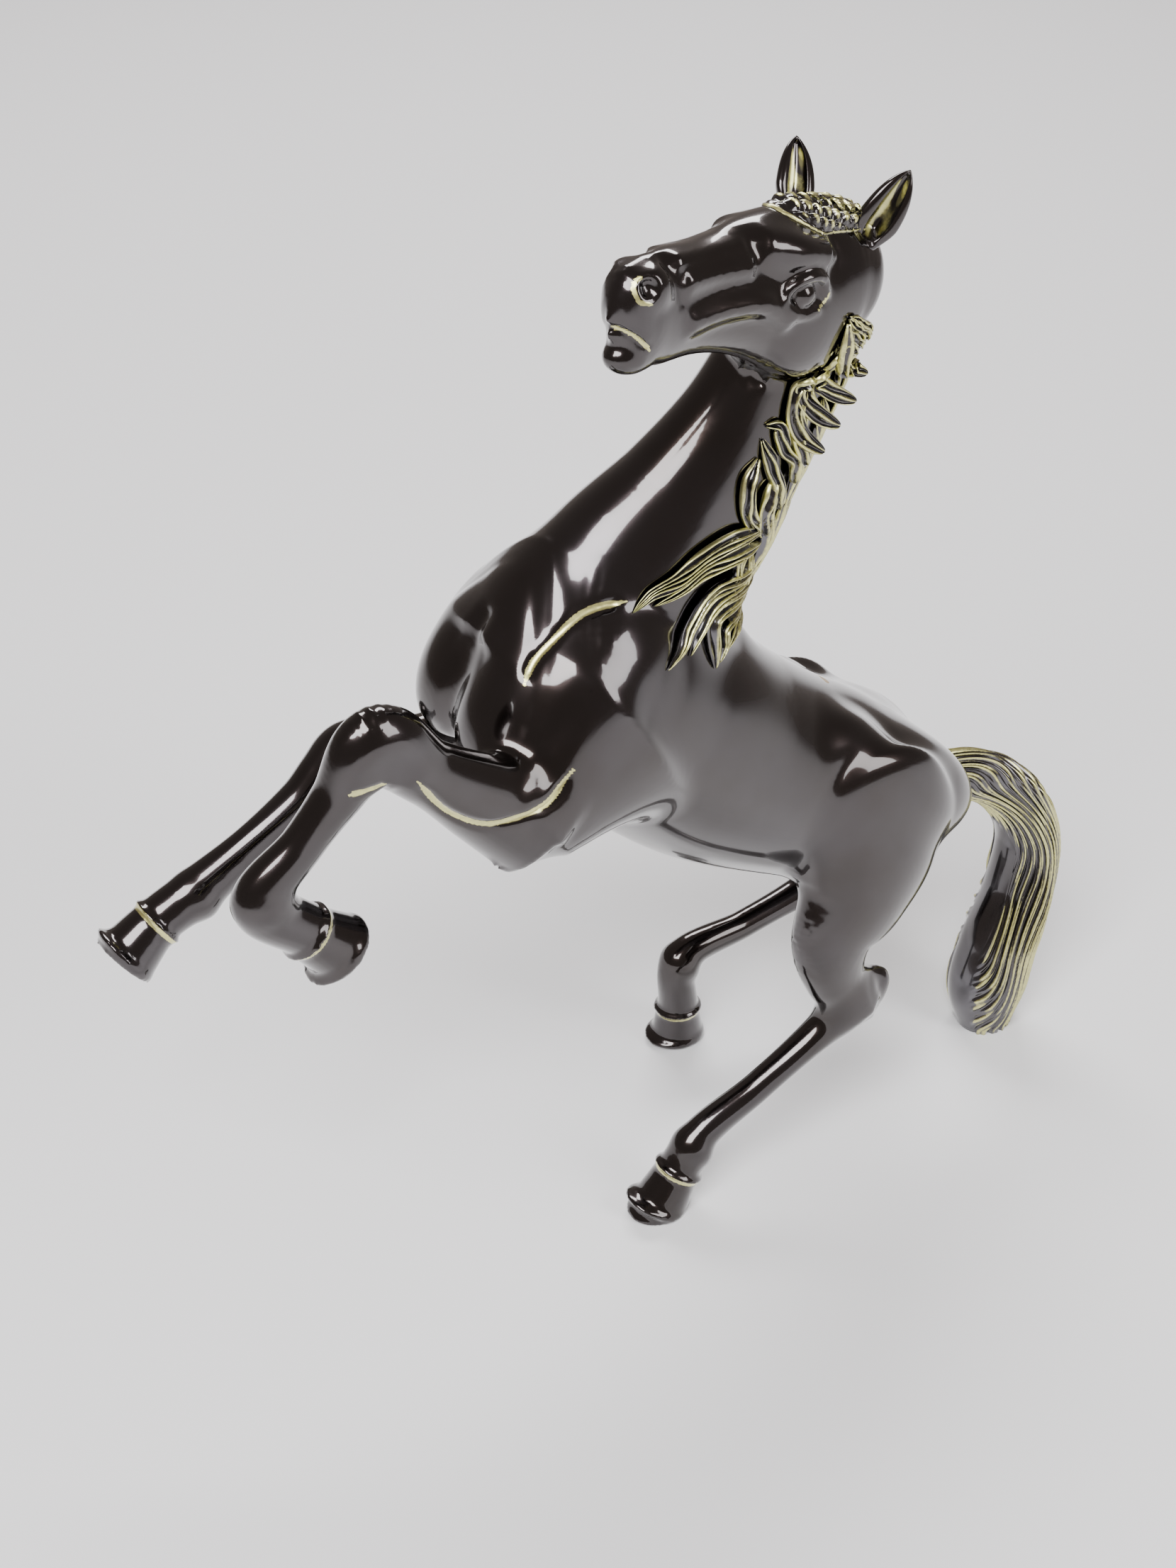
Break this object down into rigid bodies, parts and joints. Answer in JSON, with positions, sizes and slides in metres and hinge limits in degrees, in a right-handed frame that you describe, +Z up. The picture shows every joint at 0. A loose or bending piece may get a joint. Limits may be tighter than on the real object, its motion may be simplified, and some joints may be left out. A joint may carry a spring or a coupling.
{
  "type": "rearing horse statuette",
  "caption": "Free-standing cast bronze rearing horse with turned head, lacquered dark patina and gold-rubbed mane, forelock and tail, standing on its hind hooves and tail tip.",
  "frame": {"origin": "on the ground under the middle of the figure's bounding box", "axes": "+Z up, the horse faces -X, its left side is -Y"},
  "size_m": [0.2917, 0.076, 0.2967],
  "materials": {
    "dark_patina": "near-black brown patina under a high-gloss lacquer",
    "hoof_patina": "near-black brown gloss patina, gold line rubbed at the coronet",
    "rubbed_hair": "engraved hair, dark in the grooves, rubbed back to olive gold on the ridges",
    "bare_bronze": "bare bronze rod, screws and plugs, as cut"
  },
  "bodies": {
    "root": {"barrel_shell": "dark_patina", "core_pin_plugs": "bare_bronze", "core_vent_plug": "bare_bronze", "crest_mane": "rubbed_hair", "forehand_shell": "dark_patina", "forelock": "rubbed_hair", "head_casting": "dark_patina", "hindquarter_shell": "dark_patina", "joint_screws": "bare_bronze", "left_ear": "dark_patina", "left_fore_cannon": "dark_patina", "left_fore_hoof": "hoof_patina", "left_fore_stud": "bare_bronze", "left_fore_upper": "dark_patina", "left_hind_cannon": "dark_patina", "left_hind_hoof": "hoof_patina", "left_hind_stud": "bare_bronze", "left_hind_upper": "dark_patina", "leg_dowels": "bare_bronze", "neck_shell": "dark_patina", "poll_sleeve": "bare_bronze", "right_ear": "dark_patina", "right_fore_cannon": "dark_patina", "right_fore_hoof": "hoof_patina", "right_fore_stud": "bare_bronze", "right_fore_upper": "dark_patina", "right_hind_cannon": "dark_patina", "right_hind_hoof": "hoof_patina", "right_hind_stud": "bare_bronze", "right_hind_upper": "dark_patina", "tail_casting": "rubbed_hair", "tail_stud": "bare_bronze", "withers_mane": "rubbed_hair", "withers_sleeve": "bare_bronze"}
  },
  "joints": []
}
